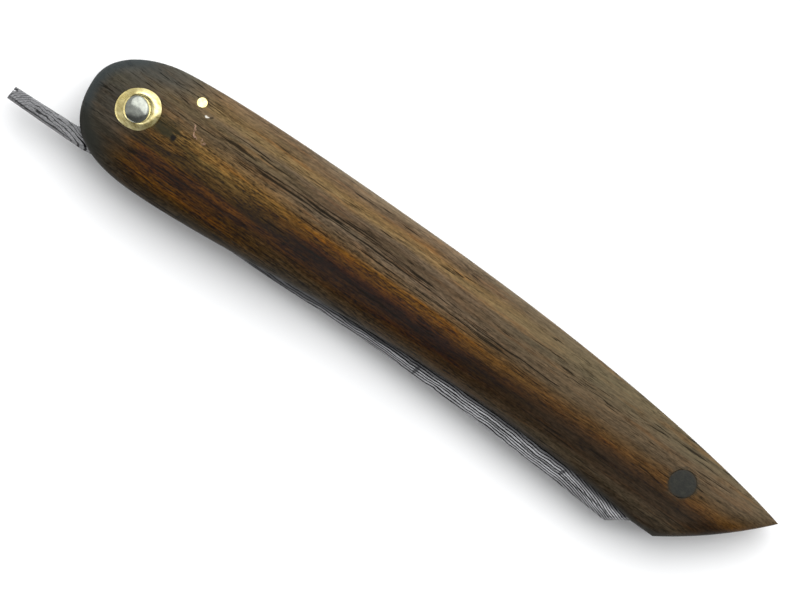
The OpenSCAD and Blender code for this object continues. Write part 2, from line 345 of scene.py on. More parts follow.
def flush_pin(name, at, r, trees, proud=0.02, dome=0.03):
    """A slightly oval pin through the whole handle, dressed flush with the skin on both sides."""
    spokes, steps = 64, 10
    rim_drop = 0.04
    shares = np.arange(steps + 1) / steps
    points = []
    for side, tree, rings in ((1, trees[0], shares), (-1, trees[1], shares[::-1])):
        for share in rings:
            for a in np.linspace(0, 2 * math.pi, spokes, endpoint=False):
                wobble = 1 + 0.025 * math.sin(2 * a + 0.6) + 0.015 * math.sin(3 * a + 2)
                radius = r * min(wobble, 1) * share
                p = (at[0] + radius * math.cos(a), at[1] + radius * math.sin(a))
                z = skin_height(tree, p, side) + proud + dome * (1 - share ** 2)
                points.append((*p, side * (z - rim_drop * (share == 1))))
    return new_object(name, points, ring_faces(2 * len(shares), spokes), flip=True)


# ---- blade

TANG_R = 6.2  # the tang round the pivot
FILLET_R = 2  # between the tang and the tail
TAIL_TOP = np.array(((-TAIL_REACH + 0.2, -9.85), (-TANG_R - FILLET_R, -9.33)))
TAIL_T = 2.8
TANG_TOP = 6.3  # just under the stop pin
HEEL_X = 20  # where the tang ends and the ground blade starts
HEEL_LEN = 3
EDGE_END = 111
EDGE_CORNER = np.array((112.4, EDGE_RISE))
CLIP_START = 114.3  # the clipped nose, along the spine
CLIP_END = np.array((118.5, -10.3))
NOSE_TIP = np.array((113.9, EDGE_RISE - 0.3))
SPINE_HALF = 0.6  # half the thickness along the outer edge
SPINE_BEVEL = 1.5  # widths of the slope beside it
TAIL_BEVEL = 0.5
NOSE_NARROWING = 0.8
BEVEL_SOFT = 0.08
TANG_EDGE = 0.12  # small rounding of the tang's other edge
FLANK_W = 4.2  # flat flank between the spine and the hollow
EDGE_T = 0.2
BEVEL_W = 0.7  # honed bevel, its half thickness at the edge and its slope
HONED_HALF = 0.015
HONED_SLOPE = 0.14


def spine_at(x):
    return np.stack([x, np.interp(x, *SPINE)], -1)


def inner_edge(x):
    tang = mix(PIVOT[1] + TANG_R, TANG_TOP, smooth(x / 8))
    blade = mix(TANG_TOP, EDGE_RISE, smooth((x - HEEL_X) / HEEL_LEN))
    return np.stack([x, np.where(x < HEEL_X, tang, blade)], -1)


def blade_rails():
    """Matching points on the spine and on the inner edge, from the tail to the nose."""
    def run(start, end, count):
        return np.linspace(start, end, count, endpoint=False)[:, None]

    # where the fillet, the tang's side and its arc start along the spine
    fillet_from, side_from, arc_from = -9, -6.5, -3.8
    tail = run(0, 1, 40)
    turn = np.radians(run(0, 90, 14)[:, 0])
    side = run(0, 1, 14)
    round_turn = np.radians(run(0, 90, 24)[:, 0])
    tang = run(0, HEEL_X, 50)[:, 0]
    heel = run(HEEL_X, HEEL_X + HEEL_LEN, 16)[:, 0]
    body = run(HEEL_X + HEEL_LEN, EDGE_END, 190)[:, 0]
    nose = run(0, 1, 12)
    clip = np.linspace(0, 1, 16)[:, None]
    fillet = TAIL_TOP[1] + FILLET_R * np.stack([np.sin(turn), 1 - np.cos(turn)], -1)
    side_top = np.array((-TANG_R, PIVOT[1]))
    side_low = np.array((-TANG_R, TAIL_TOP[1][1] + FILLET_R))
    arc = PIVOT + TANG_R * np.stack([-np.cos(round_turn), np.sin(round_turn)], -1)
    spine = [
        spine_at(mix(-TAIL_REACH, fillet_from, tail[:, 0])),
        spine_at(mix(fillet_from, side_from, turn / (np.pi / 2))),
        spine_at(mix(side_from, arc_from, side[:, 0])), spine_at(mix(arc_from, 0, round_turn / (np.pi / 2))),
        spine_at(tang), spine_at(heel), spine_at(body),
        spine_at(mix(EDGE_END, CLIP_START, nose[:, 0])), mix(spine_at(np.array(CLIP_START)), CLIP_END, clip)]
    inner = [
        mix(TAIL_TOP[0], TAIL_TOP[1], tail), fillet, mix(side_low, side_top, side), arc,
        inner_edge(tang), inner_edge(heel), inner_edge(body),
        mix(np.array((EDGE_END, EDGE_RISE)), EDGE_CORNER, nose), mix(EDGE_CORNER, NOSE_TIP, clip)]
    return np.concatenate(spine), np.concatenate(inner)


def steel_blade(name):
    """The whole steel bar: bevelled along the spine, and hollow-ground beyond the heel."""
    spine, inner = blade_rails()
    width = np.linalg.norm(inner - spine, axis=1)
    back = np.concatenate([[0, 0.04], np.linspace(0.1, SPINE_BEVEL + 0.4, 16)])
    lip = np.concatenate([[BEVEL_W], TANG_EDGE * (1 - np.cos(np.radians(np.linspace(90, 0, 7))))])
    rings = []
    for s, e, w in zip(spine, inner, width):
        ground = smooth((e[0] - HEEL_X + 1) / (2 * HEEL_LEN))
        middle = np.linspace(back[-1], w - BEVEL_W, 34)[1:]
        end = w - mix(lip, np.linspace(BEVEL_W, 0, 8), ground)
        d = np.concatenate([back, middle, end[1:]])
        half = mix(TAIL_T, BLADE_T, np.clip((e[0] + TAIL_REACH) / (TAIL_REACH - TANG_R), 0, 1)) / 2
        past_tail = smooth((s[0] + 8) / 12)
        past_nose = smooth((s[0] - CLIP_START + 1) / 1.5)
        bevel = mix(TAIL_BEVEL, SPINE_BEVEL, past_tail - NOSE_NARROWING * past_nose)
        slope = SPINE_HALF - 0.08 * (d == 0) + (half - SPINE_HALF) * d / bevel
        bar = soft_min(slope, half, BEVEL_SOFT)
        tang = np.minimum(bar, half - TANG_EDGE * (1 - rounding(w - d, TANG_EDGE)))
        hollow_share = 1 - np.clip((d - FLANK_W) / (w - FLANK_W), 0, 1)
        hollow = EDGE_T / 2 + (BLADE_T - EDGE_T) / 2 * hollow_share ** 2
        honed = HONED_HALF + (w - d) * HONED_SLOPE
        z = mix(tang, np.minimum(np.minimum(bar, hollow), honed), ground)
        xy = s + (e - s) * (d / w)[:, None]
        rings.append(np.concatenate([np.column_stack([xy, z]), np.column_stack([xy, -z])[::-1]]))
    size = len(rings[0])
    faces = ring_faces(len(rings), size)
    last = (len(rings) - 1) * size
    for j in range(size // 2 - 1):
        faces.append((j, size - 1 - j, size - 2 - j, j + 1))
        faces.append((last + j, last + j + 1, last + size - 2 - j, last + size - 1 - j))
    return new_object(name, np.concatenate(rings), faces, flip=True)


def split_cutter():
    """A small crack in the tail's end, near its inner corner."""
    end = -TAIL_REACH
    outline = [(end - 0.5, -10.4), (end - 0.5, -10.75), (end + 0.25, -10.66),
               (end + 0.9, -10.42), (end + 0.3, -10.52)]
    n, reach = len(outline), 4
    points = [(*p, -reach) for p in outline] + [(*p, reach) for p in outline]
    faces = ring_faces(2, n) + [tuple(range(n - 1, -1, -1)), tuple(range(n, 2 * n))]
    return new_object("cutter", points, faces)


# ---- fittings

CUP_R = 2.55  # the collar's dish, which the rivet head sits in
RIM_SHIFT = 0.27  # of the collar's rim, towards the picture's right
SCALE_HOLE_R = 1.53  # holes for the pivot rod
BLADE_BORE_R = 1.55


def collar_stretch(angle, r):
    """Hand-cut rim: oval, with one flat. The middle stays round."""
    share = smooth((r - CUP_R) / (COLLAR_R - CUP_R))
    oval = 0.08 + 0.2 * math.cos(2 * (angle - TURN))
    flat = -0.18 * math.exp(-((math.degrees(angle) - 267) / 22) ** 2)
    uneven = 0.02 * math.sin(5 * angle + 1) + 0.015 * math.sin(9 * angle + 4)
    return r + share * (oval + flat + uneven)


def collar_profile(seat):
    """Cross-section of a dished collar, from the hole round to the seat."""
    crest_r, crest_h, floor_h, rim_h = 2.95, 0.85, 0.5, 0.2
    hole_r, foot_bevel = 1.55, 0.06
    climb = np.linspace(0, 1, 8)
    fall = np.linspace(0, 1, 14)[1:]
    slope_in = [(mix(CUP_R, crest_r, t), mix(floor_h, crest_h, math.sin(t * math.pi / 2))) for t in climb]
    slope_out = [(mix(crest_r, COLLAR_R, t), mix(rim_h, crest_h, math.cos(t * math.pi / 2))) for t in fall]
    points = [(hole_r, 0), (hole_r, floor_h), *slope_in, *slope_out,
              (COLLAR_R, foot_bevel), (COLLAR_R - foot_bevel, 0), (hole_r, 0)]
    return [(r, seat + z) for r, z in points]


def collar(name, side):
    made = lathe(name, PIVOT, collar_profile(COLLAR_SEAT), 160, collar_stretch, 0.04, mirror=side < 0)
    press_down(made, side)
    shift_rim(made)
    return made


def shift_rim(made):
    """Slides the rim sideways, so that the ring is wider on one side of its hole than on the other."""
    centre = Vector(row((*PIVOT, 0)))
    shift = Vector((math.cos(TURN), math.sin(TURN))) * RIM_SHIFT * MM
    for vertex in made.data.vertices:
        r = (vertex.co.xy - centre.xy).length / MM
        vertex.co.xy += shift * float(smooth((r - CUP_R) / 0.5))


def press_down(made, side):
    """Turns the dish into a plain slope on the side away from the rim's shift."""
    rim_h, plain_h = 0.2, 0.55
    centre = Vector(row((*PIVOT, 0)))
    seat = centre.z + side * COLLAR_SEAT * MM
    high_side = Vector((math.cos(TURN + 0.3), math.sin(TURN + 0.3)))
    for vertex in made.data.vertices:
        away = vertex.co.xy - centre.xy
        r, h = away.length / MM, side * (vertex.co.z - seat) / MM
        if r > 1.8 and h > 0.15:
            plain = mix(rim_h, plain_h, (COLLAR_R - r) / (COLLAR_R - 2.4))
            share = float(smooth(0.55 - 0.75 * away.normalized().dot(high_side)))
            vertex.co.z = seat + side * mix(h, max(plain, rim_h), share) * MM


def head_stretch(angle, r):
    """Peening leaves the head's rim slightly oval and uneven."""
    share = min(1, r / 2)
    oval = 0.066 * math.cos(2 * (angle - TURN - math.pi / 2)) + 0.01 * math.sin(3 * angle + 1)
    return r * (1 - 0.03 + share * oval)


def pivot_rivet(name):
    """Rod with a peened dome at both ends."""
    base = COLLAR_SEAT + 0.5
    rise = HEAD_TOP - base
    head_r = 2.5
    dome = [(head_r * math.sin(a), base + 0.1 + (rise - 0.1) * math.cos(a) ** 0.9)
            for a in np.linspace(0, math.pi / 2, 26)]
    profile = [(0.0, HEAD_TOP), *dome[1:], (head_r - 0.04, base), (1.5, base)]
    down = [(r, -z) for r, z in profile[::-1]]
    return lathe(name, PIVOT, (profile + down)[::-1], 128, head_stretch, 0.012)


def thin_washer(name, side):
    """Washer between a scale and the tang, with its edges broken."""
    top, bottom = SLOT_HALF - 0.005, SLOT_HALF - 0.245
    hole_r, rim_r, inner_break, outer_break = 1.56, 4.5, 0.05, 0.06
    profile = [
        (hole_r, bottom + inner_break), (hole_r + inner_break, top), (rim_r - outer_break, top),
        (rim_r, top - outer_break), (rim_r, bottom + outer_break), (rim_r - outer_break, bottom),
        (hole_r + inner_break, bottom), (hole_r, bottom + inner_break)]
    return lathe(name, PIVOT, profile, 96, mirror=side < 0)


def spacer(name):
    """Wedge between the scales at the tail. Its front face leans back to clear the nose."""
    x = handle_stations()
    low = handle_point(x, np.full(len(x), 0.0))
    high = handle_point(x, np.full(len(x), 1.0))
    end_q = np.linspace(0, 1, 50)[1:-1]
    end = handle_point(np.full(len(end_q), x[-1]), end_q)
    front_low, front_high = np.array((119.4, -14)), np.array((114.3, 14))
    bevel_h, bevel_share = 0.08, 0.992

    def behind(p):
        f = (p[:, 1] - front_low[1]) / (front_high[1] - front_low[1])
        return p[:, 0] - mix(front_low[0], front_high[0], f)

    def start(p):
        d = behind(p)
        k = int(np.argmax(d > 0))
        f = d[k - 1] / (d[k - 1] - d[k])
        return np.concatenate([[mix(p[k - 1], p[k], f)], p[k:]])

    outline = np.concatenate([start(low), end, start(high)[::-1]])
    keep = [True] + [np.linalg.norm(b - a) > 0.02 for a, b in zip(outline, outline[1:])]
    outline = outline[np.array(keep)]
    middle = outline.mean(0)
    inner = middle + (outline - middle) * bevel_share
    n = len(outline)
    levels = [(inner, -SLOT_HALF), (outline, -SLOT_HALF + bevel_h),
              (outline, SLOT_HALF - bevel_h), (inner, SLOT_HALF)]
    rings = [np.column_stack([ring, np.full(n, z)]) for ring, z in levels]
    faces = ring_faces(len(rings), n)
    faces.append(tuple(range(n - 1, -1, -1)))
    faces.append(tuple(range(3 * n, 4 * n)))
    return new_object(name, np.concatenate(rings), faces)


# ---- materials

def linear(r, g, b):
    """A display colour, 0 to 255, as a linear one."""
    def one(c):
        c /= 255
        return c / 12.92 if c <= 0.04045 else ((c + 0.055) / 1.055) ** 2.4
    return (one(r), one(g), one(b), 1)


class Shader:
    """A material with one Principled shader, and short calls that add nodes to it."""

    def __init__(self, name):
        self.material = bpy.data.materials.new(name)
        self.material.use_nodes = True
        self.nodes = self.material.node_tree.nodes
        self.links = self.material.node_tree.links
        self.surface = self.nodes["Principled BSDF"]

    def put(self, socket, value):
        if isinstance(value, bpy.types.NodeSocket):
            self.links.new(value, socket)
        else:
            socket.default_value = value

    def node(self, kind, *inputs, out=0, **props):
        made = self.nodes.new("ShaderNode" + kind)
        for key, value in props.items():
            setattr(made, key, value)
        for socket, value in zip(made.inputs, inputs):
            if value is not None:
                self.put(socket, value)
        return made.outputs[out]

    def set(self, **inputs):
        for key, value in inputs.items():
            self.put(self.surface.inputs[key.replace("_", " ")], value)

    def plan(self):
        """The point on the surface, in plan millimetres."""
        here = self.node("TexCoord", out=3)
        moved = self.node("VectorMath", here, tuple(ORIGIN), operation="SUBTRACT")
        return self.node("VectorMath", moved, (1 / MM, 1 / MM, 1 / MM), operation="MULTIPLY")

    def axes(self, vector):
        split = self.nodes.new("ShaderNodeSeparateXYZ")
        self.put(split.inputs[0], vector)
        return split.outputs[0], split.outputs[1], split.outputs[2]

    def join(self, x, y, z):
        return self.node("CombineXYZ", x, y, z)

    def math(self, operation, *values):
        return self.node("Math", *values, operation=operation)

    def add(self, *values):
        total = values[0]
        for value in values[1:]:
            total = self.math("ADD", total, value)
        return total

    def times(self, *values):
        total = values[0]
        for value in values[1:]:
            total = self.math("MULTIPLY", total, value)
        return total

    def noise(self, vector, sizes, detail=2.0, roughness=0.5, seed=0.0):
        """Noise from 0 to 1, whose features are as large as sizes, in mm."""
        scaled = self.node("VectorMath", vector, tuple(1 / s for s in sizes), operation="MULTIPLY")
        moved = self.node("VectorMath", scaled, (seed, seed * 1.7, seed * 0.3), operation="ADD")
        made = self.nodes.new("ShaderNodeTexNoise")
        self.put(made.inputs["Vector"], moved)
        made.inputs["Scale"].default_value = 1.0
        made.inputs["Detail"].default_value = detail
        made.inputs["Roughness"].default_value = roughness
        return made.outputs[0]

    def swing(self, vector, sizes, detail=2.0, roughness=0.5, seed=0.0):
        """The same noise, from -0.5 to 0.5."""
        return self.math("SUBTRACT", self.noise(vector, sizes, detail, roughness, seed), 0.5)

    def span(self, value, low, high, to_low=0.0, to_high=1.0, kind="SMOOTHSTEP"):
        """Goes from to_low to to_high while value goes from low to high, and stays there."""
        made = self.nodes.new("ShaderNodeMapRange")
        made.interpolation_type = kind
        made.clamp = True
        for socket, v in zip(made.inputs, (value, low, high, to_low, to_high)):
            self.put(socket, v)
        return made.outputs[0]

    def ramp(self, value, stops, low=0.0, high=1.0):
        """Colour by value. stops are (value, colour), from low to high."""
        made = self.nodes.new("ShaderNodeValToRGB")
        self.put(made.inputs[0], self.span(value, low, high, kind="LINEAR"))
        elements = made.color_ramp.elements
        while len(elements) < len(stops):
            elements.new(0.5)
        for element, (v, colour) in zip(elements, stops):
            element.position = (v - low) / (high - low)
            element.color = colour
        return made.outputs[0]

    def blend(self, share, a, b, kind="MIX"):
        """From colour a to colour b by share."""
        made = self.nodes.new("ShaderNodeMix")
        made.data_type = "RGBA"
        made.blend_type = kind
        for socket, v in ((made.inputs[0], share), (made.inputs[6], a), (made.inputs[7], b)):
            self.put(socket, v)
        return made.outputs[2]

    def distance(self, point, at):
        """How far a point is from a plan place, seen from above."""
        off = self.node("VectorMath", point, (*at, 0), operation="SUBTRACT")
        flat = self.node("VectorMath", off, (1, 1, 0), operation="MULTIPLY")
        return self.node("VectorMath", flat, out=1, operation="LENGTH")

    def spot(self, point, at, turn, size):
        """1 inside a small soft ellipse at a plan place, 0 outside. turn is in degrees."""
        c, k = math.cos(math.radians(turn)), math.sin(math.radians(turn))
        du, dv, _ = self.axes(self.node("VectorMath", point, (*at, 0), operation="SUBTRACT"))
        along = self.times(self.add(self.times(du, c), self.times(dv, k)), 1 / size[0])
        across = self.times(self.add(self.times(dv, c), self.times(du, -k)), 1 / size[1])
        away = self.add(self.times(along, along), self.times(across, across))
        return self.span(away, 1.3, 0.5)

    def deepen(self, colour, saturation, value):
        made = self.nodes.new("ShaderNodeHueSaturation")
        made.inputs["Saturation"].default_value = saturation
        made.inputs["Value"].default_value = value
        self.put(made.inputs["Color"], colour)
        return made.outputs[0]

    def bump(self, height, depth_mm, strength):
        made = self.nodes.new("ShaderNodeBump")
        made.inputs["Strength"].default_value = strength
        made.inputs["Distance"].default_value = depth_mm * MM
        self.put(made.inputs["Height"], height)
        return made.outputs[0]


# display colours across the handle, from the belly to the back, at its end and three places beyond it
BELLY_BAND = -13.5
BACK_BAND = 12.5
END_BANDS = [
    (-13, (60, 58, 52)), (-10, (50, 48, 43)), (-7, (54, 51, 45)), (-4.5, (62, 57, 50)), (-2, (60, 57, 51)),
    (0.5, (62, 59, 53)), (3, (75, 70, 60)), (5, (72, 70, 64)), (8, (72, 70, 64)), (12.5, (84, 80, 72)),
]
NEAR_BANDS = [
    (-13.5, (58, 50, 41)), (-10.6, (46, 36, 25)), (-9, (78, 53, 22)), (-7.6, (66, 44, 20)),
    (-6.2, (46, 29, 12)), (-5, (74, 48, 18)), (-4, (54, 40, 22)), (-2.5, (72, 54, 33)),
    (-0.8, (88, 71, 44)), (0.8, (118, 92, 58)), (2.4, (106, 86, 62)),
    (4, (90, 76, 59)), (6, (106, 92, 70)), (7, (100, 86, 68)), (8.3, (126, 106, 76)), (9.6, (110, 90, 64)),
    (12.5, (116, 98, 80)),
]
# the lighter stop near -7 here and in FAR_BANDS is a painted reflection along the belly's rounded shoulder
MIDDLE_BANDS = [
    (-12, (44, 40, 34)), (-9.2, (54, 47, 38)), (-7.4, (63, 50, 36)), (-5.5, (50, 33, 20)),
    (-2.9, (26, 16, 8)), (-1.8, (57, 35, 19)), (-0.8, (76, 52, 30)), (0.6, (102, 71, 38)),
    (2, (94, 78, 60)), (3.4, (101, 87, 72)), (6, (90, 74, 58)), (7, (104, 88, 72)),
    (8.2, (128, 106, 76)), (9.4, (120, 96, 66)), (10.6, (100, 83, 66)), (12.5, (118, 104, 86)),
]
# the lighter stop at -6.8 is a painted reflection along the belly's rounded shoulder
FAR_BANDS = [
    (-10, (42, 40, 37)), (-8, (54, 46, 38)), (-6.8, (68, 59, 48)), (-4.8, (51, 40, 31)),
    (-2.9, (42, 32, 25)), (-1.6, (58, 41, 28)), (0.2, (90, 65, 41)), (1.6, (84, 66, 47)),
    (3, (90, 76, 60)), (5, (101, 86, 68)), (7, (98, 87, 69)), (8.6, (102, 90, 70)),
    (10, (100, 89, 70)), (12.5, (114, 102, 84)),
]


def band_colour(s, p, u, v, band):
    """The bands' colours, blended from one place along the handle to the next."""
    def bands(stops):
        return s.ramp(band, [(at, linear(*c)) for at, c in stops], BELLY_BAND, BACK_BAND)

    end_reach = s.add(u, s.span(v, 5, 8, 0, -7))
    colour = s.blend(s.span(end_reach, -5, 7), bands(END_BANDS), bands(NEAR_BANDS))
    colour = s.blend(s.span(u, 20, 42), colour, bands(MIDDLE_BANDS))
    colour = s.blend(s.span(u, 64, 98), colour, bands(FAR_BANDS))
    # a paler streak below the pivot
    return s.blend(s.times(s.spot(p, (8, -2.3), 0, (5, 1.1)), 0.7), colour, linear(98, 72, 44))


def blotches(s, p, colour):
    """Patches that run along the grain: redder here, greener there."""
    warm = s.noise(p, (13, 1.1, 2), 3.0, 0.6, seed=8.0)
    redder = s.blend(1.0, colour, (1.3, 0.88, 0.6, 1), "MULTIPLY")
    colour = s.blend(s.span(warm, 0.5, 0.75, 0, 0.4), colour, redder)
    greener = s.blend(1.0, colour, (0.7, 0.84, 0.84, 1), "MULTIPLY")
    return s.blend(s.span(warm, 0.5, 0.25, 0, 0.4), colour, greener)


def grain_tone(s, p, u, v, streak, fine, fibre):
    """How light the streaks make the wood. The belly's side of the pivot end is the most uneven."""
    small = s.add(s.span(fine, 0.3, 0.7, -0.5, 0.5, "LINEAR"), s.span(fibre, 0.3, 0.7, -0.4, 0.4, "LINEAR"))
    grainy = s.times(s.span(v, 6, -1, 0.65, 1.35), s.span(u, -5, 9, 0.5, 1.0), s.span(u, 60, 90, 1.0, 0.65))
    tone = s.add(s.span(streak, 0.3, 0.7, 0.72, 1.28, "LINEAR"), s.times(small, grainy))
    patch = s.noise(p, (8, 1.1, 2), 3.0, 0.6, seed=50.0)
    patchy_zone = s.times(s.span(v, 0.5, -1.5), s.span(u, 46, 30))
    patches = s.times(s.span(patch, 0.32, 0.68, -0.34, 0.34, "LINEAR"), patchy_zone)
    return s.times(tone, s.add(1.0, patches))


def open_pores(s, p, u, v, w, slow):
    """Long thin dark lines, crowded in the grey-brown band, which falls towards the tip."""
    fallen = s.add(v, s.times(s.add(u, -20.0), 0.045))
    crowd = s.times(
        s.span(fallen, 1.9, 3.0), s.span(fallen, 6.6, 5.6), s.span(u, 10, 32), s.span(u, 104, 68))
    wander = s.swing(p, (9, 2, 2), 2.0, seed=30.0)
    wave = s.join(u, s.add(v, s.times(slow, 0.8), s.times(wander, 0.9)), w)
    lines = s.noise(wave, (18, 0.23, 0.5), 1.0, 0.5, seed=11.0)
    here = s.noise(p, (10, 0.8, 1.2), 2.0, 0.5, seed=17.0)
    gate = s.span(
        here, s.span(crowd, 0, 1, 0.58, 0.34, "LINEAR"), s.span(crowd, 0, 1, 0.64, 0.44, "LINEAR"))
    # short dashes as well, in patches
    dashes = s.noise(wave, (2.6, 0.13, 0.4), 1.0, 0.5, seed=23.0)
    dash_gate = s.span(s.noise(p, (12, 2.2, 2), 2.0, seed=26.0), 0.45, 0.6)
    dash = s.times(s.span(dashes, 0.58, 0.66), dash_gate)
    return s.math("MAXIMUM", s.times(s.span(lines, 0.545, 0.57), gate), s.times(dash, 0.6))


def pivot_knot(s, p, u, v, colour):
    """A small knot beside the pivot, with a dark halo between it and the collar."""
    ragged = s.times(s.swing(p, (1.8, 0.7, 2), 4.0, 0.7, seed=40.0), 5)
    halo = s.times(
        s.span(s.add(v, s.times(ragged, 0.5)), -2.2, -1), s.span(s.add(v, s.times(ragged, 0.6)), 2.6, 1.2),
        s.span(u, 3.6, 4.8), s.span(s.add(u, ragged), 9.4, 8.4))
    colour = s.blend(s.times(halo, s.span(v, 1.6, -0.6, 0.5, 0.9)), colour, linear(46, 45, 34))
    from_knot = s.add(s.distance(p, (8.5, -0.9)), s.times(ragged, 0.2))
    return s.blend(s.span(from_knot, 0.75, 0.35, 0, 0.95), colour, linear(14, 12, 11))


def chip_light_and_scratches(s, p, colour):
    """A small chip below the stop pin, as a painted highlight with a painted shadow line beside it, and two
    light scratches.
    """
    uneven = s.times(s.swing(p, (1.1, 1.1, 2), 2.0, seed=36.0), 1.6)
    bent = s.node("VectorMath", p, uneven, operation="ADD")
    # painted shadow on the chip's far side
    chip_shadow = s.spot(bent, (12.1, 6.1), 35, (0.7, 0.16))
    colour = s.blend(s.times(chip_shadow, 0.8), colour, linear(24, 22, 20))
    # painted highlight on the chip
    colour = s.blend(s.spot(bent, (11.3, 5.8), 5, (0.42, 0.2)), colour, linear(240, 236, 226))
    second = s.times(s.spot(bent, (13.2, 1.5), -40, (0.8, 0.16)), 0.6)
    scratch = s.math("MAXIMUM", s.spot(bent, (11.2, 2.1), -51, (1.7, 0.2)), second)
    patchy = s.span(s.noise(p, (0.6, 0.6, 1), 2.0, seed=33.0), 0.35, 0.6)
    return s.blend(s.times(scratch, patchy, 0.6), colour, linear(206, 170, 150))


def dowel_stain(s, p, colour):
    """The end grain of the dowel has stained the wood round it."""
    seep = s.times(s.swing(p, (1.4, 0.7, 2), 3.0, 0.6, seed=44.0), 2.4)
    from_dowel = s.add(s.distance(p, DOWEL_AT), seep)
    return s.blend(s.span(from_dowel, 3.4, 2.4, 0, 0.7), colour, linear(48, 48, 42))


def painted_end_and_rim_shade(s, p, u, v, w, colour):
    """The rounded end is painted darker and bluish grey, as painted shade and a painted reflection where it
    turns away, darker still towards the belly. The wood's edges beside the slot, on the belly's side, carry
    painted shade, darkest along the waist.
    """
    # painted shade and a painted bluish reflection on the rounded end
    end_shade = s.times(s.span(s.distance(p, (0, -1)), 7, 9.4), s.span(u, 2, -5))
    shaded = s.blend(s.span(v, -3, -7), linear(61, 67, 69), linear(46, 48, 46))
    colour = s.blend(s.times(end_shade, 0.9), colour, shaded)
    # painted shade along the wood's edge beside the slot on the belly's side, darker along the waist
    rim = s.times(s.span(s.math("ABSOLUTE", w), 4.4, 3.0), s.span(v, -1, -5))
    waist = s.times(s.span(u, 32, 46), s.span(u, 92, 82))
    return s.blend(s.times(rim, 0.88), colour, s.blend(waist, linear(34, 32, 28), linear(18, 17, 15)))


def wood():
    """Dark oiled hardwood. Its bands and streaks run along the handle and drift slowly."""
    s = Shader("oiled_wood")
    p = s.plan()
    u, v, w = s.axes(p)
    slow = s.swing(p, (40, 8, 8), 1.0)
    quick = s.swing(p, (12, 1.6, 2.2), 4.0, 0.6, seed=3.0)
    band = s.add(v, slow, s.times(quick, 1.7), s.times(w, 0.1))
    colour = blotches(s, p, band_colour(s, p, u, v, band))
    # streaks of three sizes along the grain
    along = s.join(u, s.add(v, s.times(quick, 0.5), s.times(slow, 0.8)), w)
    streak = s.noise(along, (18, 0.6, 1.3), 4.0, 0.6, seed=1.0)
    fine = s.noise(along, (3.5, 0.27, 0.5), 2.0, 0.6, seed=5.0)
    fibre = s.noise(along, (0.9, 0.22, 0.3), 1.0, 0.6, seed=15.0)
    tone = grain_tone(s, p, u, v, streak, fine, fibre)
    colour = s.blend(1.0, colour, s.join(tone, tone, tone), "MULTIPLY")
    pore = open_pores(s, p, u, v, w, slow)
    colour = s.blend(s.times(pore, 0.85), colour, linear(20, 18, 16))
    colour = pivot_knot(s, p, u, v, colour)
    colour = chip_light_and_scratches(s, p, colour)
    colour = dowel_stain(s, p, colour)
    colour = painted_end_and_rim_shade(s, p, u, v, w, colour)
    # the gloss of the oil adds a veil of light, which the colour makes up for
    s.set(Base_Color=s.blend(1.0, s.deepen(colour, 1.12, 0.7), (0.003, 0.0035, 0.0045, 1), "SUBTRACT"))
    s.set(Roughness=s.add(0.44, s.times(pore, 0.2), s.times(s.noise(p, (6, 3, 3), 2.0, seed=20.0), 0.14)))
    s.surface.inputs["Specular IOR Level"].default_value = 0.15
    s.surface.inputs["Specular Tint"].default_value = (1.0, 0.96, 0.86, 1)
    relief = s.add(s.times(fine, 0.3), s.times(streak, 0.2), s.times(fibre, 0.15), s.times(pore, -0.9))
    s.set(Normal=s.bump(relief, 0.09, 0.8))
    return s.material


def dark_plug():
    """The end grain of the dowel, browner at its ragged rim."""
    s = Shader("dark_dowel")
    p = s.plan()
    rings = s.noise(p, (0.8, 0.6, 3), 4.0, 0.6)
    flecks = s.noise(p, (0.18, 0.18, 2), 2.0, 0.5, seed=4.0)
    mottle = s.add(s.times(rings, 0.7), s.times(flecks, 0.3))
    browns = [(0.3, linear(26, 27, 24)), (0.5, linear(38, 38, 34)), (0.7, linear(52, 52, 45))]
    colour = s.ramp(mottle, browns)
    ragged = s.times(s.swing(p, (1.2, 0.7, 2), 3.0, 0.6, seed=46.0), 1.6)
    from_middle = s.add(s.distance(p, DOWEL_AT), ragged)
    colour = s.blend(s.span(from_middle, 2.1, 2.8, 0, 0.6), colour, linear(50, 43, 32))
    s.set(Base_Color=colour, Roughness=s.span(rings, 0.3, 0.7, 0.5, 0.65))
    s.surface.inputs["Specular IOR Level"].default_value = 0.15
    s.set(Normal=s.bump(flecks, 0.04, 0.5))
    return s.material


def steel_layers(s, p, u, v, w, above, kinks):
    """A field that grows by 1 from each layer of the steel to the next."""
    waves = s.swing(p, (10, 5, 6), 2.0, 0.5, seed=2.0)
    curls = s.swing(p, (4.5, 1.8, 2), 2.0, 0.6, seed=14.0)
    # on the ground blade the layers run along it and turn down at the nose
    past = s.math("MAXIMUM", s.add(u, -98.0), 0.0)
    across = s.times(s.math("ABSOLUTE", w), s.span(v, -6, 0, 0.3, 2.2))
    run = s.add(s.times(s.add(above, s.times(past, past, 0.011)), 2.1), across,
                s.times(waves, 2.8), s.times(kinks, s.span(v, 3, 6, 1.0, 0.4)))
    # on the tail they curl round the root and turn down beside the handle
    near = s.times(s.math("MAXIMUM", s.add(u, 9.5), 0.0), 0.32)
    wrap = s.math("SQRT", s.add(s.times(above, above), s.times(near, near)))
    curl = s.add(s.times(wrap, s.span(u, -6, -11, 2.1, 1.6)), s.times(curls, s.span(u, -5, -10, 1.0, 2.6)),
                 s.times(kinks, s.span(u, -5, -10, 0.7, 1.3)))
    # and they cross the tail's end
    from_root = s.distance(p, (-14.5, -11.5))
    rings = s.times(s.math("MAXIMUM", s.add(from_root, -3.0), 0.0), s.span(u, -14.5, -16, 0, 1.4))
    curl = s.add(curl, rings)
    return s.add(s.times(run, s.span(u, -3, 1)), s.times(curl, s.span(u, 1, -3)))


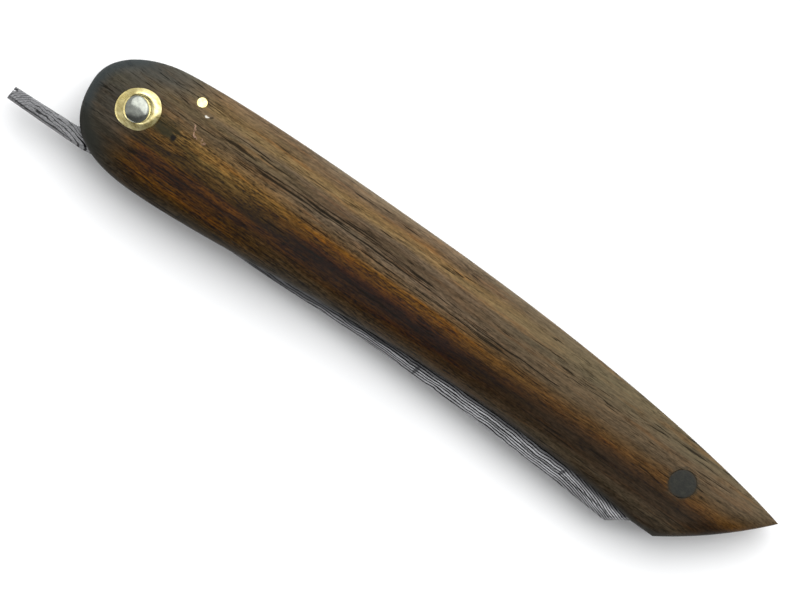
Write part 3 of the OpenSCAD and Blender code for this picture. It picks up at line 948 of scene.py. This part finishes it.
def steel_marks_and_slot_shadow(s, p, u, v, above, kinks, grit, colour):
    """Dark marks: two knots in the strip and a long layer on the tail; and a painted shadow where the wood's
    edge shades the steel beside the slot.
    """
    knots = s.math(
        "MAXIMUM", s.spot(p, (69.8, -10.2), 75, (1.1, 0.4)), s.spot(p, (102.8, -10.3), 60, (0.9, 0.35)))
    colour = s.blend(s.times(knots, s.span(grit, 0.3, 0.6, 0.3, 0.9)), colour, linear(44, 44, 46))
    seam = s.math("ABSOLUTE", s.add(above, s.times(kinks, 0.5), -0.45))
    seam = s.times(s.span(seam, 0.2, 0.06), s.span(u, -7, -8.5), s.span(u, -20.5, -19), 0.7)
    # painted shadow of the wood's edge on the steel, along the slot
    past_waist = s.add(u, -84.0)
    slot_edge = s.add(s.times(past_waist, past_waist, -0.0013), -8.5)
    below_slot = s.add(v, s.times(slot_edge, -1.0), s.times(kinks, 0.4))
    slot_shadow = s.times(s.span(below_slot, -1.25, -0.5), s.span(u, 26, 34))
    return s.blend(s.math("MAXIMUM", seam, s.times(slot_shadow, 0.72)), colour, linear(30, 30, 31))


def damascus():
    """Pattern-welded steel: wavy light and dark layers, bold on the blade and thin on the tail."""
    s = Shader("pattern_welded_steel")
    p = s.plan()
    u, v, w = s.axes(p)
    # height above the spine line, which dips towards the nose
    far = s.span(u, 61, 114.3, kind="LINEAR")
    dip = s.add(s.times(s.span(u, 31, 61), -0.7), s.times(far, far, 1.85))
    above = s.add(v, 12.0, dip, s.times(s.span(u, -3, -6), 0.45))
    kinks = s.swing(p, (2.6, 1.6, 2), 2.0, 0.6, seed=6.0)
    layers = steel_layers(s, p, u, v, w, above, kinks)
    line = s.add(s.math("SINE", s.times(layers, 2 * math.pi)), s.times(kinks, 0.8))
    sharp = s.span(line, s.span(u, -2.5, -8, -0.5, -1.0), s.span(u, -2.5, -8, 0.1, -0.6))
    cloud = s.noise(p, (7, 2.5, 3), 3.0, 0.55, seed=9.0)
    grit = s.noise(p, (0.35, 0.2, 0.3), 2.0, 0.6, seed=19.0)
    light = s.ramp(cloud, [(0.3, linear(122, 122, 123)), (0.7, linear(158, 158, 160))])
    dark = s.ramp(cloud, [(0.3, linear(14, 14, 15)), (0.7, linear(32, 32, 34))])
    dark = s.blend(s.span(u, -6, -9, 0, 0.2), dark, light)
    specks = s.span(grit, 0.3, 0.7, s.span(u, -2, -4, 0.8, 0.6), s.span(u, -2, -4, 1.2, 1.4), "LINEAR")
    # the factor by above paints shade within a millimetre of the spine's outer edge, where it turns away
    tone = s.times(s.span(u, 62, 80, 0.7, 0.93), s.span(u, -2, -6, 1.0, 0.92),
                   s.span(above, 0.1, 1.0, 0.8, 1.0), specks)
    colour = s.blend(1.0, s.blend(sharp, dark, light), s.join(tone, tone, tone), "MULTIPLY")
    s.set(Base_Color=steel_marks_and_slot_shadow(s, p, u, v, above, kinks, grit, colour), Metallic=1.0)
    s.set(Roughness=s.span(sharp, 0, 1, 0.5, 0.36, "LINEAR"))
    brushed = s.noise(p, (3, 0.1, 0.1), 2.0, seed=12.0)
    s.set(Normal=s.bump(s.add(sharp, s.times(brushed, 0.5), s.times(grit, 0.4)), 0.012, 0.6))
    return s.material


SHADED_SIDE_AT = (PIVOT[0] - 3.2, PIVOT[1] + 0.2)


def brass(name, light, dark, rough):
    """Worn brass or bronze, with painted shade on the side of the pivot that faces the rounded end."""
    s = Shader(name)
    p = s.plan()
    smear = s.noise(p, (1.4, 0.8, 1.0), 3.0, 0.6)
    scratch = s.noise(p, (1.2, 0.07, 0.2), 2.0, 0.6, seed=7.0)
    # painted shade on the collar's side that faces the rounded end
    shaded_side = s.spot(p, SHADED_SIDE_AT, 85, (3.6, 1.7))
    shade = tuple(0.6 * c for c in dark[:3]) + (1,)
    polished = s.ramp(smear, [(0.3, dark), (0.65, light)])
    s.set(Base_Color=s.blend(s.times(shaded_side, 0.65), polished, shade), Metallic=1.0)
    s.set(Roughness=s.span(smear, 0.3, 0.7, rough, rough + 0.14, "LINEAR"))
    s.set(Normal=s.bump(s.add(scratch, s.times(smear, 1.5)), 0.015, 0.5))
    return s.material


def polished_steel():
    """The peened rivet, smeared and finely scratched."""
    s = Shader("rivet_steel")
    p = s.plan()
    smear = s.noise(p, (0.9, 0.9, 0.9), 3.0, 0.6)
    scratch = s.noise(p, (0.9, 0.06, 0.2), 2.0, 0.6, seed=2.0)
    colour = s.ramp(smear, [(0.3, linear(116, 118, 112)), (0.7, linear(150, 153, 144))])
    s.set(Base_Color=colour, Metallic=1.0)
    s.set(Roughness=s.span(smear, 0.3, 0.7, 0.12, 0.2, "LINEAR"))
    s.set(Normal=s.bump(s.add(scratch, s.times(smear, 0.8)), 0.008, 0.4))
    return s.material


def paper():
    """Plain white floor."""
    s = Shader("pale_floor")
    cloud = s.noise(s.plan(), (40, 40, 40), 2.0)
    s.set(Base_Color=s.ramp(cloud, [(0.3, linear(247, 247, 247)), (0.7, linear(251, 251, 251))]))
    s.set(Roughness=0.9)
    return s.material


# ---- assembly

def finish_piece(piece, material, body, slot, *nodes):
    """Gives a piece its material, ties it to its body and hides the CAD nodes that it stands in for. slot is
    not used.
    """
    piece.data.materials.clear()
    piece.data.materials.append(material)
    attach(piece, body)
    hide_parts(*nodes)


front = wooden_scale("wood_front_scale", 1)
back = wooden_scale("wood_back_scale", -1)
depsgraph = bpy.context.evaluated_depsgraph_get()
skins = [BVHTree.FromObject(o, depsgraph) for o in (front, back)]
stop = flush_pin("brass_stop_pin", STOP_AT, STOP_R, skins)
dowel = flush_pin("dark_tail_dowel", DOWEL_AT, DOWEL_R, skins, proud=-0.02, dome=0.02)
for scale, side in ((front, 1), (back, -1)):
    low, high = sorted((side * (SLOT_HALF - 2), side * CUT_REACH))
    cut(scale,
        seat_cutter(side),
        cylinder_cutter(PIVOT, SCALE_HOLE_R, low, high),
        cylinder_cutter(STOP_AT, STOP_R + 0.03, low, high),
        cylinder_cutter(DOWEL_AT, DOWEL_R + 0.01, low, high))

wood_look = wood()
plug_look = dark_plug()
brass_look = brass("worn_brass", linear(237, 226, 170), linear(188, 170, 106), 0.22)
bronze_look = brass("thin_bronze", linear(196, 148, 92), linear(150, 108, 64), 0.35)
finish_piece(front, wood_look, "handle", "scale_wood", "front_scale")
finish_piece(back, wood_look, "handle", "scale_wood", "back_scale")
finish_piece(spacer("wood_tail_spacer"), wood_look, "handle", "scale_wood", "tail_spacer")
finish_piece(dowel, plug_look, "handle", "dowel_wood", "tail_dowel")
finish_piece(stop, brass_look, "handle", "brass", "stop_pin")
finish_piece(collar("brass_front_collar", 1), brass_look, "handle", "brass", "front_collar")
finish_piece(collar("brass_back_collar", -1), brass_look, "handle", "brass", "back_collar")
finish_piece(thin_washer("bronze_front_washer", 1), bronze_look, "handle", "bronze", "front_inner_washer")
finish_piece(thin_washer("bronze_back_washer", -1), bronze_look, "handle", "bronze", "back_inner_washer")
finish_piece(pivot_rivet("steel_pivot_rivet"), polished_steel(), "handle", "pin_steel", "pivot_pin")
steel = steel_blade("damascus_blade")
cut(steel, cylinder_cutter(PIVOT, BLADE_BORE_R, -CUT_REACH, CUT_REACH), split_cutter())
finish_piece(steel, damascus(), "blade", "blade_steel", "blade")

# ---- floor, light and camera

FLOOR_HALF = 2.0
FLOOR_DROP = 0.0002
KEY_WATTS = 7.5
KEY_SIZE = (1.3, 0.9)
# brightness of the room towards the picture's top and bottom, times a share towards its left and
# right, plus that of the stretch low on the horizon
ROOM_LIGHT = 1.25
ROOM_DARK = 0.25
ROOM_LEFT = 0.7
ROOM_RIGHT = 1.4
ROOM_LOW = 2.2
ROOM_COLOUR = (0.98, 0.99, 1.0, 1)
floor_mesh = bpy.data.meshes.new("floor")
floor_mesh.from_pydata([(-FLOOR_HALF, -FLOOR_HALF, 0), (FLOOR_HALF, -FLOOR_HALF, 0),
                        (FLOOR_HALF, FLOOR_HALF, 0), (-FLOOR_HALF, FLOOR_HALF, 0)], [], [(0, 1, 2, 3)])
floor = bpy.data.objects.new("floor", floor_mesh)
floor.location.z = -FLOOR_DROP
bpy.context.scene.collection.objects.link(floor)
floor_mesh.materials.append(paper())

# the picture's right and up directions, seen from straight above
RIGHT = Vector((math.cos(TURN), math.sin(TURN), 0))
UP = Vector((-math.sin(TURN), math.cos(TURN), 0))
CENTRE = Vector(row((59.9, -1.4, 0)))

# one softbox, high up towards the picture's upper right
key_data = bpy.data.lights.new("key", "AREA")
key_data.shape = "RECTANGLE"
key_data.size, key_data.size_y = KEY_SIZE
key_data.energy = KEY_WATTS
key = bpy.data.objects.new("key", key_data)
key.location = CENTRE + UP * 0.42 + RIGHT * 0.25 + Vector((0, 0, 0.9))
key.rotation_euler = (CENTRE - key.location).to_track_quat("-Z", "Y").to_euler()
bpy.context.scene.collection.objects.link(key)

# the room is light towards the picture's top and right, and dark towards its bottom, apart from
# a pale stretch low on the horizon, on the belly's side of the razor
world = bpy.data.worlds.new("studio")
world.use_nodes = True
sky = world.node_tree
sky_place = sky.nodes.new("ShaderNodeTexCoord")


def room(direction, start, end, dark, light):
    """World brightness that changes from dark to light towards a direction."""
    along = sky.nodes.new("ShaderNodeVectorMath")
    along.operation = "DOT_PRODUCT"
    along.inputs[1].default_value = direction
    share = sky.nodes.new("ShaderNodeMapRange")
    share.interpolation_type = "SMOOTHSTEP"
    for socket, value in zip(list(share.inputs)[1:5], (start, end, dark, light)):
        socket.default_value = value
    sky.links.new(sky_place.outputs["Generated"], along.inputs[0])
    sky.links.new(along.outputs["Value"], share.inputs[0])
    return share.outputs[0]


def combine(operation, a, b):
    made = sky.nodes.new("ShaderNodeMath")
    made.operation = operation
    sky.links.new(a, made.inputs[0])
    sky.links.new(b, made.inputs[1])
    return made.outputs[0]


brightness = combine("MULTIPLY", room(UP, -0.3, -0.05, ROOM_DARK, ROOM_LIGHT),
                     room(RIGHT, -0.5, 0.6, ROOM_LEFT, ROOM_RIGHT))
brightness = combine("ADD", brightness, room((0, -1, 0), 0.88, 0.98, 0, ROOM_LOW))
sky.links.new(brightness, sky.nodes["Background"].inputs[1])
sky.nodes["Background"].inputs[0].default_value = ROOM_COLOUR
bpy.context.scene.world = world
bpy.context.scene.view_settings.view_transform = "Standard"

LENS = 220
SENSOR = 36
FIELD_W = 0.148  # width of the picture, at the rise above the middle of the slot
FIELD_RISE = 0.003
camera_data = bpy.data.cameras.new("camera")
camera_data.lens = LENS
camera_data.sensor_width = SENSOR
camera = bpy.data.objects.new("camera", camera_data)
camera.location = CENTRE + Vector((0, 0, FIELD_RISE + FIELD_W * LENS / SENSOR))
camera.rotation_euler = (0, 0, TURN)
bpy.context.scene.collection.objects.link(camera)
bpy.context.scene.camera = camera
